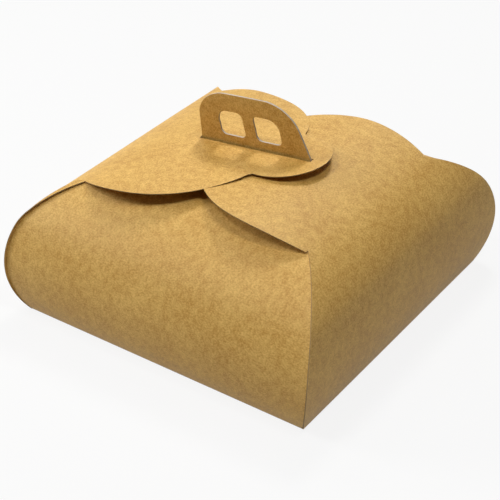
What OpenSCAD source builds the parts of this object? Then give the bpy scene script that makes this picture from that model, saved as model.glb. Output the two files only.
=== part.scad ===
// Kraft cake box with a carrying handle, folded from one sheet of board.
// X runs along the handle, Z is up and the base is centred on the origin.

/* [Carton] */

// Side of the square base
base_w = 270; // [240:5:310]

// Thickness of the board
board_t = 1; // [0.6:0.1:1.6]

// How far the two cover walls lean out at the base, in degrees
cover_lean = 25; // [22:1:28]

// How far the two walls that carry the handle lean out, in degrees
side_lean = 34; // [31:1:36]

// Width of the glued strips inside the corners
tab_w = 18; // [10:1:24]

/* [Top flaps] */

// Slope of the closing flap across the middle, in degrees
flap_slope = 5.8; // [4:0.2:7]

// Radius of the rounded tip past the handle
tip_r = 38; // [34:1:42]

// Board left between the end of the slot and the tip
tip_rim = 10.5; // [8:0.5:14]

// Clearance between the closing flap and the flap under it
flap_gap = 0.6; // [0.4:0.1:1.2]

/* [Handle] */

// Length of the handle where it leaves the slot
handle_w = 104; // [96:1:110]

// Height of the handle above the closing flap
handle_h = 50; // [46:1:54]

// Radius of the two upper corners of the handle
handle_r = 30; // [26:1:32]

// Width of one finger window
window_w = 24; // [20:1:26]

// Height of one finger window
window_h = 22; // [18:1:24]

// Board between the two finger windows
window_bridge = 10.6; // [8:0.2:14]

// Space beside the handle in its slots
slot_gap = 1.5; // [1:0.1:2]

// Space past each end of the handle in its slots
slot_end_gap = 2.6; // [2.4:0.1:4]

// How far the finger windows sit off the middle of the handle
window_shift = 2; // [0:0.5:3]

/* [Hidden] */

$fn = 96;
half = base_w / 2;
big = 2 * base_w;
fold_gap = 0.2;

// Every curved wall is bent a little every few degrees, as board is.
bend_step = 4;

// Angles of an outline: the board runs straight up at 90 and level inward at 0.
cover_a0 = 90 + cover_lean;
cover_a1 = 72;
near_a2 = 65;
near_notch_a = 22.5;
near_a3 = 21.4;
near_end_a = -16;
far_a2 = 50;
far_a3 = 22;
side_a0 = 90 + side_lean;
side_a1 = 38;
side_notch_a = 25.4;
side_a2 = 17;

// Radii of the cover walls and their flaps, from the base up.
low_r = 0.41 * base_w;
hip_r = 0.126 * base_w;
near_r = 0.243 * base_w;
over_r = 1.9 * base_w;
far_r = 0.304 * base_w;
brow_r = 0.5 * base_w;
slope_run = 0.65 * base_w;

// Upper radius of the walls that carry the handle.
rise_r = 0.5 * base_w;

// The cover edges stand slightly proud of the walls between them, as extra degrees of lean.
near_lift = 0.8;
far_lift = 2.6;

// Outward direction at an angle of an outline, and the centre of the arc that follows.
function out(a) = [sin(a), cos(a)];
function next_mid(c, r, r_new, a) = c + (r - r_new) * out(a);

cover_c0 = [half, 0] - low_r * out(cover_a0);
cover_c1 = next_mid(cover_c0, low_r, hip_r, cover_a1);
near_c2 = next_mid(cover_c1, hip_r, near_r, near_a2);
far_c2 = next_mid(cover_c1, hip_r, far_r, far_a2);
far_c3 = next_mid(far_c2, far_r, brow_r, far_a3);

// Height of the closing flap at the middle of the box.
brow = far_c3 + brow_r * out(flap_slope);
root_z = brow[1] + brow[0] * tan(flap_slope);

// The crown of the lower flap rises until it just clears the slope of the closing flap.
crown_start = near_c2 + near_r * out(near_a3);
under_z = root_z + crown_start[0] * tan(flap_slope) - (board_t + flap_gap + over_r) / cos(flap_slope);
crown_rise = under_z + over_r - crown_start[1];
crown_r = crown_rise / (1 - cos(near_a3) + sin(near_a3) * tan(flap_slope));
near_c3 = next_mid(near_c2, near_r, crown_r, near_a3);
near_c4 = next_mid(near_c3, crown_r, over_r, 0);

// Tips of the flaps, rounded past the ends of the slots.
tip_x = handle_w / 2 + slot_end_gap + tip_rim - tip_r;
tip_end = tip_x + tip_r;

// The flaps of the handle run level where the tip of the lower flap rests on them.
rest_z = near_c4[1] + sqrt(pow(over_r - board_t, 2) - pow(near_c4[0] + tip_end, 2));
rise_z = rise_r * (cos(side_a2) - cos(side_a1));
body_r = (rest_z - rise_z) / (cos(side_a1) - cos(side_a0));

function low_mid(lift) = [half, 0] - body_r * out(side_a0 + lift);
function rise_mid(lift) = next_mid(low_mid(lift), body_r, rise_r, side_a1);

// Notches where the free edges of the flaps start, on the outside of the board.
hinge = far_c2 + far_r * out(far_a3);
near_notch = near_c2 + near_r * out(near_notch_a);
side_notch = rise_mid(0) + rise_r * out(side_notch_a);
fold = rise_mid(0) + rise_r * out(side_a2);

// Slots in the two flaps that drop over the handle.
slot_w = 2 * board_t + fold_gap + 2 * slot_gap;
slot_l = handle_w + 2 * slot_end_gap;

// Finger windows: height above the slope and radii of the corners.
window_z = 9;
window_r = 3.5;
window_big_r = 10;

// Half widths of the flaps, each made of two arcs.
far_lobe = 0.351 * base_w;
far_lobe_mid = [-0.2555 * base_w, 0.0352 * base_w];
far_front = 0.313 * base_w;
far_front_mid = [-0.2296 * base_w, 0.0752 * base_w];
near_lobe_x = 0.2148 * base_w;
near_lobe = 0.312 * base_w;
near_lobe_y = 0.037 * base_w;
near_bow = 0.5763 * base_w;
near_bow_y = near_lobe_y + near_lobe - near_bow;

// The flaps of the handle narrow from the notches to a neck as wide as the handle.
shoulder_x = 0.36 * base_w;
shoulder_y = 0.315 * base_w;
tail_x = 0.26 * base_w;
tail_y = 0.24 * base_w;
neck_y = 0.08 * base_w;
tab_z = 4;
tab_top = 0.3 * base_w;

// Points along an arc, without its first one.
function arc(c, r, a_from, a_to) =
    let (n = ceil(abs(a_to - a_from) / bend_step))
    [for (i = [1 : n]) c + r * out(a_from + (a_to - a_from) * i / n)];

function flipped(p) = [for (i = [len(p) - 1 : -1 : 0]) [-p[i][0], p[i][1]]];
function reversed(p) = [for (i = [len(p) - 1 : -1 : 0]) p[i]];

// Half outline of the wall on the near side, moved in by a depth.
function near_wall(d) = concat(
    [cover_c0 + (low_r - d) * out(cover_a0)],
    arc(cover_c0, low_r - d, cover_a0, cover_a1),
    arc(cover_c1, hip_r - d, cover_a1, near_a2),
    arc(near_c2, near_r - d, near_a2, near_notch_a)
);

// The flap that follows it lies over the handle's flaps and under the closing flap.
function near_flap(d) = concat(
    arc(near_c2, near_r - d, near_notch_a, near_a3),
    arc(near_c3, crown_r - d, near_a3, 0),
    arc(near_c4, over_r - d, 0, near_end_a)
);

// Half outline of the wall on the far side, which carries the closing flap.
function far_wall(d) = concat(
    [cover_c0 + (low_r - d) * out(cover_a0)],
    arc(cover_c0, low_r - d, cover_a0, cover_a1),
    arc(cover_c1, hip_r - d, cover_a1, far_a2),
    arc(far_c2, far_r - d, far_a2, far_a3)
);

// The closing flap ends in a straight slope.
function far_flap(d) = concat(
    [far_c2 + (far_r - d) * out(far_a3)],
    arc(far_c3, brow_r - d, far_a3, flap_slope),
    [far_c3 + (brow_r - d) * out(flap_slope) + slope_run * [-cos(flap_slope), sin(flap_slope)]]
);

// Half outline of the walls that carry the handle.
function side_wall(d, lift) = concat(
    [low_mid(lift) + (body_r - d) * out(side_a0 + lift)],
    arc(low_mid(lift), body_r - d, side_a0 + lift, side_a1),
    arc(rise_mid(lift), rise_r - d, side_a1, side_notch_a)
);
function side_flap(d) = concat(
    arc(rise_mid(0), rise_r - d, side_notch_a, side_a2),
    [[fold_gap / 2, fold[1] - d]]
);

// A drawing in X and Z, run along Y.
module along_y() {
    rotate([90, 0, 0]) linear_extrude(height = big, center = true) children();
}

// A drawing in Y and Z, run along X.
module along_x() {
    rotate([90, 0, 90]) linear_extrude(height = big, center = true) children();
}

// Space between the walls that carry the handle, out to the edges of a cover wall.
module between_sides(lift) {
    edge = concat(side_wall(0, lift), arc(rise_mid(lift), rise_r, side_notch_a, side_a2));
    along_x() polygon(concat([[-half, 0], [half, 0]], edge, flipped(edge)));
}

// Space inside the two cover walls.
module between_covers() {
    along_y() polygon(concat(
        [[-half + 2 * board_t, 0], [half - 2 * board_t, 0]],
        near_wall(board_t),
        flipped(far_wall(board_t))
    ));
}

// Plan of the closing flap: two curved lobes and a rounded tip past the handle.
module far_plan() {
    for (side = [0, 1]) mirror([0, side]) intersection() {
        translate(far_lobe_mid) circle(r = far_lobe);
        translate(far_front_mid) circle(r = far_front);
        translate([-hinge[0], -board_t]) square([base_w, base_w]);
    }
    translate([tip_x, 0]) circle(r = tip_r);
}

// Plan of the flap under it, from the opposite wall.
module near_plan() {
    for (side = [0, 1]) mirror([0, side]) {
        intersection() {
            translate([near_lobe_x, near_lobe_y]) circle(r = near_lobe);
            translate([near_lobe_x - base_w, -board_t]) square([base_w, base_w]);
        }
        intersection() {
            translate([near_lobe_x, near_bow_y]) circle(r = near_bow);
            translate([near_lobe_x - board_t, -board_t])
                square([near_notch[0] - near_lobe_x + board_t, base_w]);
        }
    }
    translate([-tip_x, 0]) circle(r = tip_r);
}

// Plan of the two flaps that turn up into the handle.
module side_plan() {
    near_x = near_notch[0] - board_t / 2;
    polygon([
        [-shoulder_x, side_notch[0]],
        [near_x, side_notch[0]],
        [near_x, shoulder_y],
        [tail_x, tail_y],
        [handle_w / 2, neck_y],
        [handle_w / 2, 0],
        [-handle_w / 2, 0],
        [-handle_w / 2, neck_y],
        [-tail_x, tail_y]
    ]);
}

module flap_cut() {
    linear_extrude(height = base_w) difference() {
        children();
        square([slot_l, slot_w], center = true);
    }
}

module far_cover() {
    mirror([1, 0, 0]) intersection() {
        along_y() polygon(concat(far_wall(0), reversed(far_wall(board_t))));
        between_sides(far_lift);
        translate([hinge[0], -base_w, 0]) cube([base_w, big, base_w]);
    }
}

module near_cover() {
    band = concat(
        near_wall(0), near_flap(0),
        reversed(near_flap(board_t)), reversed(near_wall(board_t))
    );
    intersection() {
        along_y() polygon(band);
        between_sides(near_lift);
        translate([near_notch[0], -base_w, 0]) cube([base_w, big, base_w]);
    }
    intersection() {
        along_y() polygon(band);
        flap_cut() near_plan();
    }
}

module side_panel() {
    band = concat(
        side_wall(0, 0), side_flap(0),
        reversed(side_flap(board_t)), reversed(side_wall(board_t, 0))
    );
    intersection() {
        along_x() polygon(band);
        between_covers();
        union() {
            translate([-base_w, side_notch[0], 0]) cube([big, base_w, base_w]);
            translate([near_notch[0] - board_t, shoulder_y, 0]) cube(base_w);
        }
    }
    intersection() {
        along_x() polygon(band);
        linear_extrude(height = base_w) side_plan();
    }
}

// Glued strips folded in behind the edges of the cover walls.
module tab(cover_outer, cover_inner) {
    intersection() {
        along_y() polygon(concat(cover_outer, reversed(cover_inner)));
        along_x() polygon(concat(side_wall(board_t, 0), reversed(side_wall(board_t + tab_w, 0))));
        translate([0, 0, tab_z]) cube([base_w, base_w, tab_top - tab_z]);
    }
}

module corners() {
    for (side = [0, 1]) mirror([0, side, 0]) {
        tab(near_wall(board_t), near_wall(2 * board_t));
        mirror([1, 0, 0]) tab(far_wall(board_t), far_wall(2 * board_t));
    }
}

// Points of a rounded corner, from one direction to the other.
function corner(c, r, a_from, a_to) =
    let (n = ceil(abs(a_to - a_from) / (1.5 * bend_step)))
    [for (i = [0 : n]) c + r * [cos(a_from + (a_to - a_from) * i / n), sin(a_from + (a_to - a_from) * i / n)]];

// A finger window with one large corner, on the right of the middle.
module window() {
    x0 = window_bridge / 2;
    x1 = x0 + window_w;
    z0 = window_z;
    z1 = z0 + window_h;
    polygon(concat(
        corner([x0 + window_r, z0 + window_r], window_r, 180, 270),
        corner([x1 - window_r, z0 + window_r], window_r, 270, 360),
        corner([x1 - window_big_r, z1 - window_big_r], window_big_r, 0, 90),
        corner([x0 + window_r, z1 - window_r], window_r, 90, 180)
    ));
}

// Points above the slope of the closing flap.
function tilted(p) = [for (q = p) [
    q[0] * cos(flap_slope) - q[1] * sin(flap_slope),
    root_z + q[0] * sin(flap_slope) + q[1] * cos(flap_slope)
]];

// One layer of the handle, turned up from a flap and tilted with the slope.
module handle_ply() {
    mid = [0.326 * handle_w - 0.565 * handle_r, handle_h - handle_r];
    reach = [handle_w / 2, 0] - mid;
    touch_a = atan2(reach[1], reach[0]) + acos(handle_r / norm(reach));
    bow = corner(mid, handle_r, touch_a, 90);
    foot_x = handle_w / 2 * cos(flap_slope);
    foot_z = fold[1] - board_t;
    top = concat([[handle_w / 2, 0]], bow, flipped(bow), [[-handle_w / 2, 0]]);
    translate([0, fold_gap / 2 + board_t, 0]) rotate([90, 0, 0]) linear_extrude(height = board_t) difference() {
        polygon(concat([[-foot_x, foot_z], [foot_x, foot_z]], tilted(top)));
        translate([0, root_z]) rotate(flap_slope) translate([-window_shift, 0])
            for (side = [0, 1]) mirror([side, 0]) window();
    }
}

module carton() {
    color([0.72, 0.57, 0.36]) {
        translate([-half, -half, 0]) cube([base_w, base_w, board_t]);
        far_cover();
        near_cover();
        corners();
        for (side = [0, 1]) mirror([0, side, 0]) {
            side_panel();
            handle_ply();
        }
    }
}

module closing_flap() {
    color([0.75, 0.6, 0.38]) intersection() {
        mirror([1, 0, 0]) along_y() polygon(concat(far_flap(0), reversed(far_flap(board_t))));
        flap_cut() far_plan();
    }
}

carton();
closing_flap();
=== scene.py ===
import math
import bpy
import numpy as np
from mathutils import Matrix, Vector
from mathutils.geometry import delaunay_2d_cdt


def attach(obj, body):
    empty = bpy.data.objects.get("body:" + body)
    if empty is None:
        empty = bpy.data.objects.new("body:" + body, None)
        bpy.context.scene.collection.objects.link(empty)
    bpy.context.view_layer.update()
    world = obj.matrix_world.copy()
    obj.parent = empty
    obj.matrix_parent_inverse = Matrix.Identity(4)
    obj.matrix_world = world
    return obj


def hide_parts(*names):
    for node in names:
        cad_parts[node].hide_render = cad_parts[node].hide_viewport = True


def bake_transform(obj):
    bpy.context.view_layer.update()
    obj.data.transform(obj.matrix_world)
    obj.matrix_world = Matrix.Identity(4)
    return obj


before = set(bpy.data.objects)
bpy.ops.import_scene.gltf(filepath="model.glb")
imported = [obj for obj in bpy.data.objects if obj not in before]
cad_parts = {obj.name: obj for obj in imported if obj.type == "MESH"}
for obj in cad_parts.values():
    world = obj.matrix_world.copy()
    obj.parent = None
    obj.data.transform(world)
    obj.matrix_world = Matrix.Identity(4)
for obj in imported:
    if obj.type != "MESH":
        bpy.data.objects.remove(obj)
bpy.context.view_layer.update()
scene = bpy.context.scene
print("frame loaded")

# the box folded from one sheet, in metres and degrees
box = {
    "base": 0.27,
    "board": 0.001,  # as in the solids, the sheets are spaced by it
    "sheet": 0.0006,  # as drawn
    "coverLean": 25,
    "sideLean": 34,
    "nearLift": 0.8,
    "farLift": 2.6,
    "flapSlope": 5.8,
    "flapGap": 0.0006,
    "grid": 0.0045,
}
cover = {
    "tipRadius": 0.038, "tipRim": 0.0105,
    "farDroop": 0.003, "backDroop": 0.003, "hingeTwist": 0.0014, "twistSlide": 1.6,
    "reach": 0.095, "twistSpan": 0.03,
    "farLobes": ((-0.2555, 0.0352, 0.351), (-0.2296, 0.0752, 0.313)),  # centre and radius, shares of the base
    "lobeX": 0.2148, "nearLobes": ((0.037, 0.312), (-0.227, 0.5763)),
}
handle = {
    "width": 0.104, "height": 0.0482, "corner": 0.03, "cornerMid": (0.326, 0.565), "windowW": 0.024, "windowH": 0.0236,
    "footReach": 0.0017, "bulge": 0.002, "sheet": 0.0007,
    "bridge": 0.0106, "windowZ": 0.0078, "windowShift": -0.002, "small": 0.0048, "large": 0.01,
    "slotGap": 0.0015, "slotEnd": 0.0026, "foldGap": 0.0002,
    "lean": 11, "leanStart": 0.002, "leanEase": 0.006, "leanDrop": 0.018,
}
baseWidth, board, half = box["base"], box["board"], box["base"] / 2
slope = math.radians(box["flapSlope"])
bend = {  # where the arcs of the walls meet, in degrees from upright
    "hip": 72, "near": 65, "far": 50, "brow": 22, "nearNotch": 22.5, "crown": 21.4, "over": -16,
    "rise": 38, "sideNotch": 25.4, "fold": 17,
}


def outward(a):
    return np.array([math.sin(math.radians(a)), math.cos(math.radians(a))])


def nextCentre(centre, r, rNew, a):
    return centre + (r - rNew) * outward(a)


def arcRun(centre, r, a0, a1, step=1.5):
    n = max(2, int(math.ceil(abs(a1 - a0) / step)))
    return [centre + r * outward(a0 + (a1 - a0) * i / n) for i in range(n + 1)]


def joinRuns(*runs):
    points = []
    for run in runs:
        for p in run:
            if not points or np.linalg.norm(points[-1] - p) > 1e-6:
                points.append(p)
    return np.array(points)


lowR, hipR, nearR, overR = [k * baseWidth for k in (0.41, 0.126, 0.243, 1.9)]
farR, browR, riseR = [k * baseWidth for k in (0.304, 0.5, 0.5)]
coverStart, sideStart = 90 + box["coverLean"], 90 + box["sideLean"]
lowC = np.array([half, 0]) - lowR * outward(coverStart)
hipC = nextCentre(lowC, lowR, hipR, bend["hip"])
nearC = nextCentre(hipC, hipR, nearR, bend["near"])
farC = nextCentre(hipC, hipR, farR, bend["far"])
browC = nextCentre(farC, farR, browR, bend["brow"])
browEnd = browC + browR * outward(box["flapSlope"])
rootZ = browEnd[1] + browEnd[0] * math.tan(slope)

# the near flap rises until it just clears the closing flap
crownTurn = outward(bend["crown"])
crownStart = nearC + nearR * crownTurn
underZ = rootZ + crownStart[0] * math.tan(slope) - (board + box["flapGap"] + overR) / math.cos(slope)
crownR = (underZ + overR - crownStart[1]) / (1 - crownTurn[1] + crownTurn[0] * math.tan(slope))
crownC = nextCentre(nearC, nearR, crownR, bend["crown"])
overC = nextCentre(crownC, crownR, overR, 0)

# the flaps of the handle run level where the tip of the near flap rests on them
tipX = handle["width"] / 2 + handle["slotEnd"] + cover["tipRim"] - cover["tipRadius"]
tipEnd = tipX + cover["tipRadius"]
restZ = overC[1] + math.sqrt((overR - board) ** 2 - (overC[0] + tipEnd) ** 2)
foldUp, riseUp, startUp = [outward(a)[1] for a in (bend["fold"], bend["rise"], sideStart)]
bodyR = (restZ - riseR * (foldUp - riseUp)) / (riseUp - startUp)

lowRun = arcRun(lowC, lowR, coverStart, bend["hip"])
nearWallRun = joinRuns(
    lowRun, arcRun(hipC, hipR, bend["hip"], bend["near"]), arcRun(nearC, nearR, bend["near"], bend["nearNotch"]),
)
farWallRun = joinRuns(
    lowRun, arcRun(hipC, hipR, bend["hip"], bend["far"]), arcRun(farC, farR, bend["far"], bend["brow"]),
)
nearRun = joinRuns(
    nearWallRun, arcRun(crownC, crownR, bend["crown"], 0), arcRun(overC, overR, 0, bend["over"]),
)
farRun = joinRuns(
    farWallRun,
    arcRun(browC, browR, bend["brow"], box["flapSlope"]),
    [browEnd + 0.7 * baseWidth * np.array([-math.cos(slope), math.sin(slope)])],
)


def sideRun(lift, lastAngle):
    low = np.array([half, 0]) - bodyR * outward(sideStart + lift)
    rise = nextCentre(low, bodyR, riseR, bend["rise"])
    return joinRuns(
        arcRun(low, bodyR, sideStart + lift, bend["rise"]), arcRun(rise, riseR, bend["rise"], lastAngle),
    )


sideWallRun = sideRun(0, bend["sideNotch"])
sideNotch, foldPoint = sideWallRun[-1], sideRun(0, bend["fold"])[-1]
panelRun = joinRuns(sideRun(0, bend["fold"]), [np.array([0.0001, foldPoint[1]])])
nearNotch, hingePoint = nearWallRun[-1], farWallRun[-1]


def alongRun(run):
    return np.concatenate([[0], np.cumsum(np.linalg.norm(np.diff(run, axis=0), axis=1))])


def onRun(run, s):
    length = alongRun(run)
    s = np.asarray(s, float)
    over = np.clip(s - length[-1], 0, None)
    under = np.clip(-s, 0, None)
    lastStep = (run[-1] - run[-2]) / np.linalg.norm(run[-1] - run[-2])
    firstStep = (run[0] - run[1]) / np.linalg.norm(run[0] - run[1])
    x = np.interp(s, length, run[:, 0]) + over * lastStep[0] + under * firstStep[0]
    z = np.interp(s, length, run[:, 1]) + over * lastStep[1] + under * firstStep[1]
    return x, z


def lengthAt(run, x, start):  # how far along the sheet a point of the flap lies, from its distance to the middle
    keep = alongRun(run) >= start - 1e-9
    return np.interp(-np.asarray(x, float), -run[keep][:, 0], alongRun(run)[keep])


def splitEdges(outline, spacing):
    points = []
    for i, p in enumerate(outline):
        q = outline[(i + 1) % len(outline)]
        n = max(1, int(math.ceil(math.dist(p, q) / spacing)))
        points += [(p[0] + (q[0] - p[0]) * k / n, p[1] + (q[1] - p[1]) * k / n) for k in range(n)]
    return points


def insideOf(points, outline):
    inside = np.zeros(len(points), bool)
    x, y = points[:, 0], points[:, 1]
    for i, (x0, y0) in enumerate(outline):
        x1, y1 = outline[(i + 1) % len(outline)]
        if abs(y1 - y0) < 1e-12:
            continue
        cross = (y0 > y) != (y1 > y)
        inside ^= cross & (x < (x1 - x0) * (y - y0) / (y1 - y0) + x0)
    return inside


def distanceTo(points, loops):
    best = np.full(len(points), 1.0)
    for loop in loops:
        for i, p in enumerate(loop):
            a, b = np.array(p), np.array(loop[(i + 1) % len(loop)])
            ab = b - a
            t = np.clip(((points - a) @ ab) / max(ab @ ab, 1e-18), 0, 1)
            best = np.minimum(best, np.linalg.norm(points - a - t[:, None] * ab, axis=1))
    return best


def cutFlat(outline, holes, spacing):
    loops = [splitEdges(loop, spacing) for loop in [outline] + holes]
    flat = np.array(outline)
    lowest, highest = flat.min(0), flat.max(0)
    rows = []
    for i, a in enumerate(np.arange(lowest[0] + spacing / 2, highest[0], spacing * 0.87)):
        shift = spacing / 2 if i % 2 else 0
        rows += [(a, b) for b in np.arange(lowest[1] + shift, highest[1], spacing)]
    grid = np.array(rows)
    keep = insideOf(grid, loops[0])
    for loop in loops[1:]:
        keep &= ~insideOf(grid, loop)
    grid = grid[keep]
    grid = grid[distanceTo(grid, loops) > spacing * 0.5]
    points, edges = [], []
    for loop in loops:
        start = len(points)
        points += loop
        edges += [(start + k, start + (k + 1) % len(loop)) for k in range(len(loop))]
    points = [Vector(p) for p in points] + [Vector(p) for p in grid.tolist()]
    verts, _, faces, _, _, _ = delaunay_2d_cdt(points, edges, [], 0, 1e-7)
    flat = np.array([tuple(v) for v in verts])
    middles = np.array([flat[list(f)].mean(0) for f in faces])
    keep = insideOf(middles, loops[0])
    for loop in loops[1:]:
        keep &= ~insideOf(middles, loop)
    return flat, [tuple(f) for f, k in zip(faces, keep) if k], loops


def makeSheet(name, outline, holes, place, materials, flip=False, thickness=box["sheet"], spacing=None):
    # a flat cut-out is carried onto its curved surface, then given the thickness of the board
    flat, faces, loops = cutFlat(outline, holes, spacing or box["grid"])
    a, b, e = flat[:, 0], flat[:, 1], 0.0004
    outer = place(a, b)
    normal = np.cross(place(a + e, b) - place(a - e, b), place(a, b + e) - place(a, b - e))
    normal /= np.linalg.norm(normal, axis=1)[:, None]
    if flip:
        normal = -normal
    inner = outer - normal * thickness
    count = len(flat)
    pairs = {}
    for f in faces:
        for k in range(3):
            i, j = f[k], f[(k + 1) % 3]
            pairs[(i, j)] = pairs.get((i, j), 0) + 1
    rims = [(i, j) for (i, j) in pairs if (j, i) not in pairs]
    polygons = [f[::-1] if flip else f for f in faces]
    polygons += [tuple(i + count for i in (f if flip else f[::-1])) for f in faces]
    polygons += [(j, i, i + count, j + count)[::-1 if flip else 1] for (i, j) in rims]
    mesh = bpy.data.meshes.new(name)
    mesh.from_pydata(np.concatenate([outer, inner]).tolist(), [], polygons)
    mesh.update()
    uv = mesh.uv_layers.new(name="sheet")
    both = np.concatenate([flat, flat])
    corner = np.empty(len(mesh.loops), int)
    mesh.loops.foreach_get("vertex_index", corner)
    uv.data.foreach_set("uv", (both[corner] * 2).ravel())
    edgeMask = np.exp(-distanceTo(flat, loops) / 0.0035)
    layer = mesh.attributes.new("rimNearness", "FLOAT", "POINT")
    layer.data.foreach_set("value", np.concatenate([edgeMask, edgeMask]))
    slots = np.array([0] * len(faces) + [1] * len(faces) + [2] * len(rims), np.int32)
    mesh.polygons.foreach_set("material_index", slots)
    smooth = np.array([True] * (2 * len(faces)) + [False] * len(rims))
    mesh.polygons.foreach_set("use_smooth", smooth)
    rimSet = {frozenset(r) for r in rims} | {frozenset((i + count, j + count)) for i, j in rims}
    for edge in mesh.edges:
        if frozenset(edge.vertices) in rimSet:
            edge.use_edge_sharp = True
    for m in materials:
        mesh.materials.append(m)
    piece = bpy.data.objects.new(name, mesh)
    scene.collection.objects.link(piece)
    return piece


def newGroup(name, inputs, outputs):
    group = bpy.data.node_groups.new(name, "ShaderNodeTree")
    for label, kind, value in inputs:
        socket = group.interface.new_socket(name=label, in_out="INPUT", socket_type=kind)
        socket.default_value = value
    for label, kind in outputs:
        group.interface.new_socket(name=label, in_out="OUTPUT", socket_type=kind)
    return group, group.nodes.new("NodeGroupInput"), group.nodes.new("NodeGroupOutput")


def mathNode(tree, operation, a, b=None, clamp=False):
    node = tree.nodes.new("ShaderNodeMath")
    node.operation = operation
    node.use_clamp = clamp
    for socket, value in zip(node.inputs, (a, b)):
        if value is None:
            continue
        if isinstance(value, (int, float)):
            socket.default_value = value
        else:
            tree.links.new(value, socket)
    return node.outputs[0]


def noiseNode(tree, vector, scale, detail, roughness=0.5):
    node = tree.nodes.new("ShaderNodeTexNoise")
    node.inputs["Detail"].default_value = detail
    node.inputs["Roughness"].default_value = roughness
    tree.links.new(vector, node.inputs["Vector"])
    if isinstance(scale, (int, float)):
        node.inputs["Scale"].default_value = scale
    else:
        tree.links.new(scale, node.inputs["Scale"])
    return node.outputs["Fac"]


def mixColour(tree, factor, a, b):
    node = tree.nodes.new("ShaderNodeMix")
    node.data_type = "RGBA"
    for socket, value in ((node.inputs[0], factor), (node.inputs[6], a), (node.inputs[7], b)):
        if isinstance(value, (int, float, tuple)):
            socket.default_value = value
        else:
            tree.links.new(value, socket)
    return node.outputs[2]


def buildFibreGroup():
    group, given, result = newGroup(
        "kraftFibres",
        [
            ("Vector", "NodeSocketVector", (0, 0, 0)),
            ("Pale", "NodeSocketColor", (0.6, 0.4, 0.2, 1)),
            ("Dark", "NodeSocketColor", (0.4, 0.25, 0.1, 1)),
            ("Grain Scale", "NodeSocketFloat", 220),
            ("Grain Contrast", "NodeSocketFloat", 1.6),
            ("Cloud Amount", "NodeSocketFloat", 0.35),
            ("Fleck Amount", "NodeSocketFloat", 0.4),
        ],
        [("Color", "NodeSocketColor"), ("Height", "NodeSocketFloat"), ("Roughness", "NodeSocketFloat")],
    )
    stretch = group.nodes.new("ShaderNodeMapping")
    stretch.inputs["Scale"].default_value = (1.0, 0.7, 1.0)
    group.links.new(given.outputs["Vector"], stretch.inputs["Vector"])
    fine = noiseNode(group, stretch.outputs[0], given.outputs["Grain Scale"], 3, 0.7)
    coarseScale = mathNode(group, "MULTIPLY", given.outputs["Grain Scale"], 0.2)
    coarse = noiseNode(group, given.outputs["Vector"], coarseScale, 4, 0.6)
    cloud = noiseNode(group, given.outputs["Vector"], 11.0, 3)
    streak = group.nodes.new("ShaderNodeMapping")
    streak.inputs["Scale"].default_value = (3.2, 0.5, 1.0)
    streak.inputs["Rotation"].default_value = (0, 0, 0.5)
    group.links.new(given.outputs["Vector"], streak.inputs["Vector"])
    fleckScale = mathNode(group, "MULTIPLY", given.outputs["Grain Scale"], 0.8)
    fleck = noiseNode(group, streak.outputs[0], fleckScale, 2)
    fleckMask = mathNode(group, "MULTIPLY", mathNode(group, "SUBTRACT", fleck, 0.58, True), 6.0, True)
    paleMask = mathNode(group, "MULTIPLY", mathNode(group, "SUBTRACT", 0.4, fleck, True), 5.0, True)
    fineShift = mathNode(group, "MULTIPLY", mathNode(group, "SUBTRACT", fine, 0.5), given.outputs["Grain Contrast"])
    coarseShift = mathNode(group, "MULTIPLY", mathNode(group, "SUBTRACT", coarse, 0.5), 1.3)
    cloudShift = mathNode(group, "MULTIPLY", mathNode(group, "SUBTRACT", cloud, 0.5), given.outputs["Cloud Amount"])
    total = mathNode(group, "ADD", mathNode(group, "ADD", fineShift, coarseShift), cloudShift)
    factor = mathNode(group, "ADD", total, 0.5, True)
    ground = mixColour(group, factor, given.outputs["Dark"], given.outputs["Pale"])
    fleckFactor = mathNode(group, "MULTIPLY", fleckMask, given.outputs["Fleck Amount"])
    flecked = mixColour(group, fleckFactor, ground, given.outputs["Dark"])
    paleFactor = mathNode(group, "MULTIPLY", paleMask, given.outputs["Fleck Amount"])
    flecked = mixColour(group, paleFactor, flecked, given.outputs["Pale"])
    group.links.new(flecked, result.inputs["Color"])
    group.links.new(factor, result.inputs["Height"])
    rough = mathNode(group, "ADD", mathNode(group, "MULTIPLY", factor, 0.1), 0.52)
    group.links.new(rough, result.inputs["Roughness"])
    return group


def buildRubbedGroup():
    group, given, result = newGroup(
        "rubbedRim",
        [
            ("Color", "NodeSocketColor", (0.6, 0.4, 0.2, 1)),
            ("Bare", "NodeSocketColor", (0.7, 0.6, 0.45, 1)),
            ("Nearness", "NodeSocketFloat", 0),
            ("Amount", "NodeSocketFloat", 0.5),
            ("Vector", "NodeSocketVector", (0, 0, 0)),
        ],
        [("Color", "NodeSocketColor")],
    )
    patches = noiseNode(group, given.outputs["Vector"], 160.0, 3)
    worn = mathNode(group, "MULTIPLY", mathNode(group, "SUBTRACT", patches, 0.35, True), 2.0, True)
    mask = mathNode(group, "MULTIPLY", worn, given.outputs["Nearness"])
    mask = mathNode(group, "MULTIPLY", mask, given.outputs["Amount"], True)
    group.links.new(mixColour(group, mask, given.outputs["Color"], given.outputs["Bare"]), result.inputs["Color"])
    return group


fibreGroup = buildFibreGroup()
rubbedGroup = buildRubbedGroup()


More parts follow.
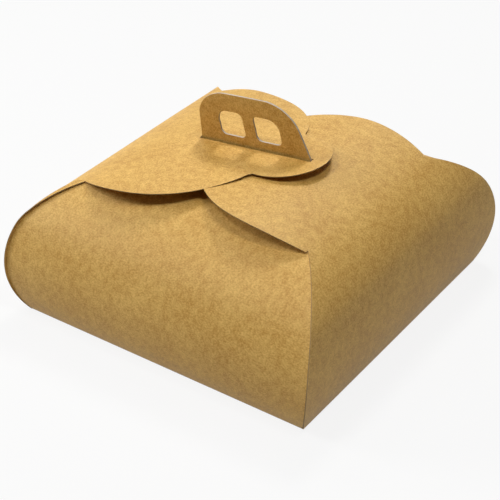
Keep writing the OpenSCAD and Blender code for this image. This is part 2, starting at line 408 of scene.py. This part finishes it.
def boardMaterial(name, look):
    material = bpy.data.materials.new(name)
    material.use_nodes = True
    tree = material.node_tree
    shader = tree.nodes["Principled BSDF"]
    sheetMap = tree.nodes.new("ShaderNodeUVMap")
    sheetMap.uv_map = "sheet"
    fibres = tree.nodes.new("ShaderNodeGroup")
    fibres.node_tree = fibreGroup
    tree.links.new(sheetMap.outputs[0], fibres.inputs["Vector"])
    for label in ("Pale", "Dark"):
        fibres.inputs[label].default_value = look[label] + (1,)
    for label in ("Grain Scale", "Grain Contrast", "Cloud Amount", "Fleck Amount"):
        fibres.inputs[label].default_value = look[label]
    colour = fibres.outputs["Color"]
    if look.get("Rubbed"):
        nearness = tree.nodes.new("ShaderNodeAttribute")
        nearness.attribute_name = "rimNearness"
        rubbed = tree.nodes.new("ShaderNodeGroup")
        rubbed.node_tree = rubbedGroup
        rubbed.inputs["Amount"].default_value = look["Rubbed"]
        rubbed.inputs["Bare"].default_value = look["Bare"] + (1,)
        tree.links.new(colour, rubbed.inputs["Color"])
        tree.links.new(nearness.outputs["Fac"], rubbed.inputs["Nearness"])
        tree.links.new(sheetMap.outputs[0], rubbed.inputs["Vector"])
        colour = rubbed.outputs["Color"]
    tree.links.new(colour, shader.inputs["Base Color"])
    tree.links.new(fibres.outputs["Roughness"], shader.inputs["Roughness"])
    bump = tree.nodes.new("ShaderNodeBump")
    bump.inputs["Strength"].default_value = look["Bump"]
    bump.inputs["Distance"].default_value = 0.00025
    tree.links.new(fibres.outputs["Height"], bump.inputs["Height"])
    tree.links.new(bump.outputs[0], shader.inputs["Normal"])
    shader.inputs["Specular IOR Level"].default_value = look["Shine"]
    return material


kraftLook = {
    "Pale": (0.73, 0.465, 0.13), "Dark": (0.42, 0.205, 0.024), "Bare": (0.6, 0.42, 0.2),
    "Grain Scale": 390, "Grain Contrast": 2.4, "Cloud Amount": 0.7, "Fleck Amount": 0.5,
    "Rubbed": 0.2, "Bump": 0.25, "Shine": 0.4,
}
linerLook = {
    "Pale": (0.6, 0.37, 0.11), "Dark": (0.38, 0.2, 0.04), "Bare": (0.6, 0.42, 0.2),
    "Grain Scale": 180, "Grain Contrast": 1.4, "Cloud Amount": 0.4, "Fleck Amount": 0.5,
    "Rubbed": 0.2, "Bump": 0.3, "Shine": 0.25,
}
paleCutLook = {  # on the handle: the board's own pale cut edge; the box's cut edges use a copy darkened as painted shade
    "Pale": (0.6, 0.54, 0.46), "Dark": (0.42, 0.36, 0.28),
    "Grain Scale": 420, "Grain Contrast": 1.8, "Cloud Amount": 0.3, "Fleck Amount": 0.5,
    "Bump": 0.5, "Shine": 0.15,
}
# the board's pale cut edge darkened for the box's edges, as painted shade where they face away from the light
shadedCutLook = {
    "Pale": (0.4, 0.28, 0.14), "Dark": (0.24, 0.15, 0.06),
    "Grain Scale": 420, "Grain Contrast": 1.8, "Cloud Amount": 0.3, "Fleck Amount": 0.5,
    "Bump": 0.5, "Shine": 0.15,
}
kraft = boardMaterial("kraftFace", kraftLook)
liner = boardMaterial("kraftInside", linerLook)
boardSet = [kraft, liner, boardMaterial("boardCutEdgePaintedShade", shadedCutLook)]
handleSet = [kraft, liner, boardMaterial("handleCutEdge", paleCutLook)]
print("board finishes made")


slotRoom = {"right": 0.0008, "left": 0.0006, "front": 0.0006, "back": -0.0004}
slotY = board + handle["foldGap"] / 2 + handle["slotGap"]
cutEnds = (handle["width"] / 2 + slotRoom["right"], -handle["width"] / 2 - handle["footReach"] - slotRoom["left"])
cutFront, cutBack = slotY + slotRoom["front"], slotY + slotRoom["back"]


def circleTop(x, cx, cy, r):
    d = r * r - (x - cx) ** 2
    return np.where(d > 0, cy + np.sqrt(np.clip(d, 0, None)), -1.0)


def farEdge(x):  # half width of the closing flap
    lobe = np.minimum(*[circleTop(x, *[k * baseWidth for k in circle]) for circle in cover["farLobes"]])
    return np.maximum(np.maximum(lobe, circleTop(x, tipX, 0, cover["tipRadius"])), 0)


def nearEdge(x):  # half width of the flap under it
    mid = cover["lobeX"] * baseWidth
    lobe = np.where(x < mid, *[circleTop(x, mid, y * baseWidth, r * baseWidth) for y, r in cover["nearLobes"]])
    return np.maximum(np.maximum(lobe, circleTop(x, -tipX, 0, cover["tipRadius"])), 0)


def mirrored(points):
    return points + [(a, -b) for a, b in points[::-1]]


def coverOutline(run, wallRun, lift, edge, lastX, sign):
    wallEnd = alongRun(wallRun)[-1]
    sideLine = sideRun(lift, bend["fold"])
    s = np.linspace(0, wallEnd, 60)
    z = onRun(wallRun, s)[1]
    points = list(zip(s, np.interp(z, sideLine[:, 1], sideLine[:, 0])))
    x0 = onRun(wallRun, wallEnd)[0]
    turn = np.linspace(0, math.pi, 90)[1:]
    x = (x0 + lastX) / 2 + (x0 - lastX) / 2 * np.cos(turn)
    points += list(zip(lengthAt(run, x, wallEnd), edge(sign * x)))
    return mirrored([(float(a), float(b)) for a, b in points[:-1]] + [(float(points[-1][0]), 0.0002)])


def slotOutline(run, wallRun, sign):
    ends = sorted((sign * x for x in cutEnds), reverse=True)
    s = [float(lengthAt(run, x, alongRun(wallRun)[-1])) for x in ends]
    return [(s[0], -cutFront), (s[1], -cutFront), (s[1], cutBack), (s[0], cutBack)]


def placeNear(a, b):
    x, z = onRun(nearRun, a)
    return np.stack([x, b, z], axis=1)


def placeFar(a, b):
    x, z = onRun(farRun, a)
    beyond = np.clip((hingePoint[0] + 0.012 - x) / 0.11, 0, 1)
    atHinge = np.exp(-((x - hingePoint[0]) / cover["twistSpan"]) ** 2)
    droop = cover["farDroop"] * beyond * np.clip(np.abs(b) / 0.09, 0, 1.1) ** 2
    twist = cover["hingeTwist"] * atHinge * b / cover["reach"]
    fromHinge = np.clip((hingePoint[0] + 0.025 - x) / 0.03, 0, 1)
    sag = cover["backDroop"] * fromHinge * np.clip(b / cover["reach"], 0, 1.1) ** 2
    return np.stack([-x - cover["twistSlide"] * twist, b, z - droop + twist - sag], axis=1)


nearTip = -(tipX + cover["tipRadius"])
nearCover = makeSheet(
    "nearCover", coverOutline(nearRun, nearWallRun, box["nearLift"], nearEdge, nearTip, 1),
    [slotOutline(nearRun, nearWallRun, 1)], placeNear, boardSet, flip=True,
)
farCover = makeSheet(
    "farCover", coverOutline(farRun, farWallRun, box["farLift"], farEdge, nearTip, -1),
    [slotOutline(farRun, farWallRun, -1)], placeFar, boardSet, flip=False,
)
print("covers made")


def halfWidthAt(run, z):  # on the part of an outline that still rises
    top = int(np.argmax(run[:, 1])) + 1
    return np.interp(z, run[:top, 1], run[:top, 0])


sidePanel = {"inset": 0.0011, "shoulder": 0.36, "shoulderY": 0.315, "tail": 0.26, "tailY": 0.24, "neckY": 0.08}


def panelOutline():
    wallEnd = alongRun(sideWallRun)[-1]
    s = np.linspace(0, wallEnd, 60)
    z = onRun(sideWallRun, s)[1]
    right = list(zip(s, halfWidthAt(nearWallRun, z) - sidePanel["inset"]))
    left = list(zip(s, -halfWidthAt(farWallRun, z) + sidePanel["inset"]))
    w = baseWidth
    tail = [
        (sidePanel["tail"] * w, sidePanel["tailY"] * w),
        (handle["width"] / 2, sidePanel["neckY"] * w), (handle["width"] / 2, 0.0015),
    ]
    y = np.linspace(sideNotch[0], sidePanel["shoulderY"] * w, 12)[1:]
    rise = onRun(panelRun, lengthAt(panelRun, y, wallEnd))[1]
    nearTop = list(zip(halfWidthAt(nearRun, np.minimum(rise, nearNotch[1])) - sidePanel["inset"], y))
    farTop = [(sidePanel["shoulder"] * w, sideNotch[0] - 0.0005)]
    flapRight = [(float(lengthAt(panelRun, y, wallEnd)), x) for x, y in nearTop + tail]
    flapLeft = [(float(lengthAt(panelRun, y, wallEnd)), -x) for x, y in (farTop + tail)[::-1]]
    return [(float(a), float(b)) for a, b in right + flapRight + flapLeft + left[::-1]]


def placeFront(a, b):
    y, z = onRun(panelRun, a)
    return np.stack([b, -y, z], axis=1)


def placeBack(a, b):
    y, z = onRun(panelRun, a)
    return np.stack([b, y, z], axis=1)


frontPanel = makeSheet("frontPanel", panelOutline(), [], placeFront, boardSet, flip=True)
backPanel = makeSheet("backPanel", panelOutline(), [], placeBack, boardSet, flip=False)
print("walls made")


def cornerRun(cx, cz, r, a0, a1, n=10):
    angles = [math.radians(a0 + (a1 - a0) * i / n) for i in range(n + 1)]
    return [(cx + r * math.cos(a), cz + r * math.sin(a)) for a in angles]


def handleOutline():
    w, r = handle["width"], handle["corner"]
    mid = (handle["cornerMid"][0] * w - handle["cornerMid"][1] * r, handle["height"] - r)
    reach = (w / 2 - mid[0], -mid[1])
    touch = math.degrees(math.atan2(reach[1], reach[0])) + math.degrees(math.acos(r / math.hypot(*reach)))
    bow = cornerRun(mid[0], mid[1], r, touch, 90, 26)
    left = [
        (-x - handle["footReach"] - handle["bulge"] * math.sin(math.pi * z / handle["height"]), z)
        for x, z in bow[::-1] + [(w / 2, 0)]
    ]
    tilted = [tilt(p) for p in [(w / 2, 0)] + bow + left]
    foot = foldPoint[1] - board
    return [(tilted[-1][0], foot), (tilted[0][0], foot)] + tilted


def tilt(p):
    across, rise = math.cos(slope), math.sin(slope)
    return (p[0] * across - p[1] * rise, rootZ + p[0] * rise + p[1] * across)


def windowOutline(side):
    x0 = handle["bridge"] / 2
    x1 = x0 + handle["windowW"]
    z0 = handle["windowZ"]
    z1 = z0 + handle["windowH"]
    r, big = handle["small"], handle["large"]
    run = cornerRun(x0 + r, z0 + r, r, 180, 270, 5) + cornerRun(x1 - r, z0 + r, r, 270, 360, 5)
    run += cornerRun(x1 - big, z1 - big, big, 0, 90, 10) + cornerRun(x0 + r, z1 - r, r, 90, 180, 5)
    return [tilt((side * x + handle["windowShift"], z)) for x, z in run]


def placePly(offset):
    lean = math.tan(math.radians(handle["lean"]))

    def place(a, b):
        height = np.clip(b - (rootZ - handle["leanStart"]) - a * math.tan(slope), 0, None)
        forward = lean * height ** 2 / (height + handle["leanEase"])
        return np.stack([a, offset - forward, b - handle["leanDrop"] * height], axis=1)

    return place


windows = [windowOutline(1), windowOutline(-1)]
frontPly = makeSheet(
    "handleFrontPly", handleOutline(), windows, placePly(-handle["foldGap"] / 2 - handle["sheet"]), handleSet,
    thickness=handle["sheet"], spacing=0.003,
)
backPly = makeSheet(
    "handleBackPly", handleOutline(), windows, placePly(handle["foldGap"] / 2 + handle["sheet"]), handleSet,
    thickness=handle["sheet"], flip=True, spacing=0.003,
)
print("handle made")


basePanel = makeSheet(
    "basePanel", [(-half, -half), (half, -half), (half, half), (-half, half)], [],
    lambda a, b: np.stack([a, b, 0 * a], axis=1), boardSet, flip=True, spacing=0.012,
)

strip = {
    "width": 0.018, "bottom": 0.004, "top": 0.081,
    "fromSide": 1.1, "fromCover": 1.05,  # in thicknesses of the board
}


def stripOutline(run):
    length = alongRun(run)
    s = np.interp(np.linspace(strip["bottom"], strip["top"], 30), run[:, 1], length)
    z = onRun(run, s)[1]
    outer = np.interp(z, sideWallRun[:, 1], sideWallRun[:, 0]) - board * strip["fromSide"]
    edge = [(float(a), float(b)) for a, b in zip(s, outer)]
    return edge + [(a, b - strip["width"]) for a, b in edge[::-1]]


def placeStrip(run, signX, signY):
    def place(a, b):
        x, z = onRun(run, a)
        return np.stack([signX * (x - board * strip["fromCover"]), signY * b, z], axis=1)

    return place


strips = []
for label, run, signX in (("Near", nearWallRun, 1), ("Far", farWallRun, -1)):
    for end, signY in (("Front", -1), ("Back", 1)):
        strips.append(makeSheet(
            "glueStrip" + label + end, stripOutline(run), [], placeStrip(run, signX, signY),
            boardSet, flip=signX * signY > 0, spacing=0.006,
        ))
print("base and strips made")

for piece in [nearCover, frontPanel, backPanel, frontPly, backPly, basePanel] + strips:
    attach(piece, "carton")
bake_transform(farCover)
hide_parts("closing_flap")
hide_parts("carton")


camera = {
    "azimuth": 35.3747672, "elevation": 33.1209344, "roll": -0.00922458,  # degrees, roll in radians
    "distance": 4.101, "shift": (-0.0273768, -0.0189371), "target": 0.15,  # shares of the base
    "focal": 1327.7222, "centre": (248.0, 249.9),  # in a picture 500 wide
}


def addCamera():
    az, el = math.radians(camera["azimuth"]), math.radians(camera["elevation"])
    back = Vector((math.sin(az) * math.cos(el), -math.cos(az) * math.cos(el), math.sin(el)))
    right = Vector((math.cos(az), math.sin(az), 0))
    up = back.cross(right)
    roll = camera["roll"]
    x = right * math.cos(roll) + up * math.sin(roll)
    y = up * math.cos(roll) - right * math.sin(roll)
    aside = camera["shift"][0] * x + camera["shift"][1] * y
    place = Vector((0, 0, camera["target"])) + aside + back * camera["distance"]
    data = bpy.data.cameras.new("photoCamera")
    data.sensor_width = 36
    data.lens = camera["focal"] / 500 * 36
    data.shift_x = (250 - camera["centre"][0]) / 500
    data.shift_y = (camera["centre"][1] - 250) / 500
    obj = bpy.data.objects.new("photoCamera", data)
    turn = Matrix((x, y, back)).transposed().to_4x4()
    obj.matrix_world = Matrix.Translation(place * baseWidth) @ turn
    scene.collection.objects.link(obj)
    scene.camera = obj
    data.clip_start = 0.05
    data.clip_end = 50


addCamera()

lamps = {
    "key": {"from": (-0.3, 0.9, 1.6), "size": 0.35, "power": 15},
    "backLeft": {"from": (-0.95, 0.45, 1.55), "size": 0.35, "power": 3},
    "above": {"from": (0.6, -0.25, 1.55), "size": 0.3, "power": 7.5},
    "frontHigh": {"from": (-0.4, -0.75, 1.5), "size": 0.25, "power": 6},
    "left": {"from": (-1.35, -0.65, 0.85), "size": 0.5, "power": 12.5},
}
for name, lamp in lamps.items():
    data = bpy.data.lights.new(name + "Lamp", "AREA")
    data.shape = "SQUARE"
    data.size = lamp["size"]
    data.energy = lamp["power"]
    obj = bpy.data.objects.new(name + "Lamp", data)
    obj.location = lamp["from"]
    obj.rotation_euler = (Vector((0, 0, 0.08)) - Vector(lamp["from"])).to_track_quat("-Z", "Y").to_euler()
    scene.collection.objects.link(obj)


def whiteForCamera(tree):  # 1 where the ray is seen directly, in gloss or through glass
    path = tree.nodes.new("ShaderNodeLightPath")
    seen = mathNode(tree, "MAXIMUM", path.outputs["Is Camera Ray"], path.outputs["Is Glossy Ray"])
    return mathNode(tree, "MAXIMUM", seen, path.outputs["Is Transmission Ray"])


world = bpy.data.worlds.new("studio")
scene.world = world
world.use_nodes = True
tree = world.node_tree
background = tree.nodes["Background"]
strength = mathNode(tree, "ADD", mathNode(tree, "MULTIPLY", whiteForCamera(tree), 0.98), 0.02)
tree.links.new(strength, background.inputs["Strength"])
background.inputs["Color"].default_value = (1, 1, 1, 1)

floorMesh = bpy.data.meshes.new("floor")
floorMesh.from_pydata([(-6, -6, 0), (6, -6, 0), (6, 6, 0), (-6, 6, 0)], [], [(0, 1, 2, 3)])
floor = bpy.data.objects.new("floor", floorMesh)
floor.location.z = -0.0003
scene.collection.objects.link(floor)
floorPaper = bpy.data.materials.new("floorPaper")
floorPaper.use_nodes = True
tree = floorPaper.node_tree
paper = tree.nodes["Principled BSDF"]
paper.inputs["Base Color"].default_value = (0.66, 0.66, 0.65, 1)
paper.inputs["Roughness"].default_value = 0.9
paper.inputs["Specular IOR Level"].default_value = 0.1
glow = tree.nodes.new("ShaderNodeEmission")
blendNode = tree.nodes.new("ShaderNodeMixShader")
tree.links.new(mathNode(tree, "MULTIPLY", whiteForCamera(tree), 0.86), blendNode.inputs[0])
tree.links.new(paper.outputs[0], blendNode.inputs[1])
tree.links.new(glow.outputs[0], blendNode.inputs[2])
tree.links.new(blendNode.outputs[0], tree.nodes["Material Output"].inputs["Surface"])
floorMesh.materials.append(floorPaper)
scene.view_settings.view_transform = "Standard"
print("studio made")
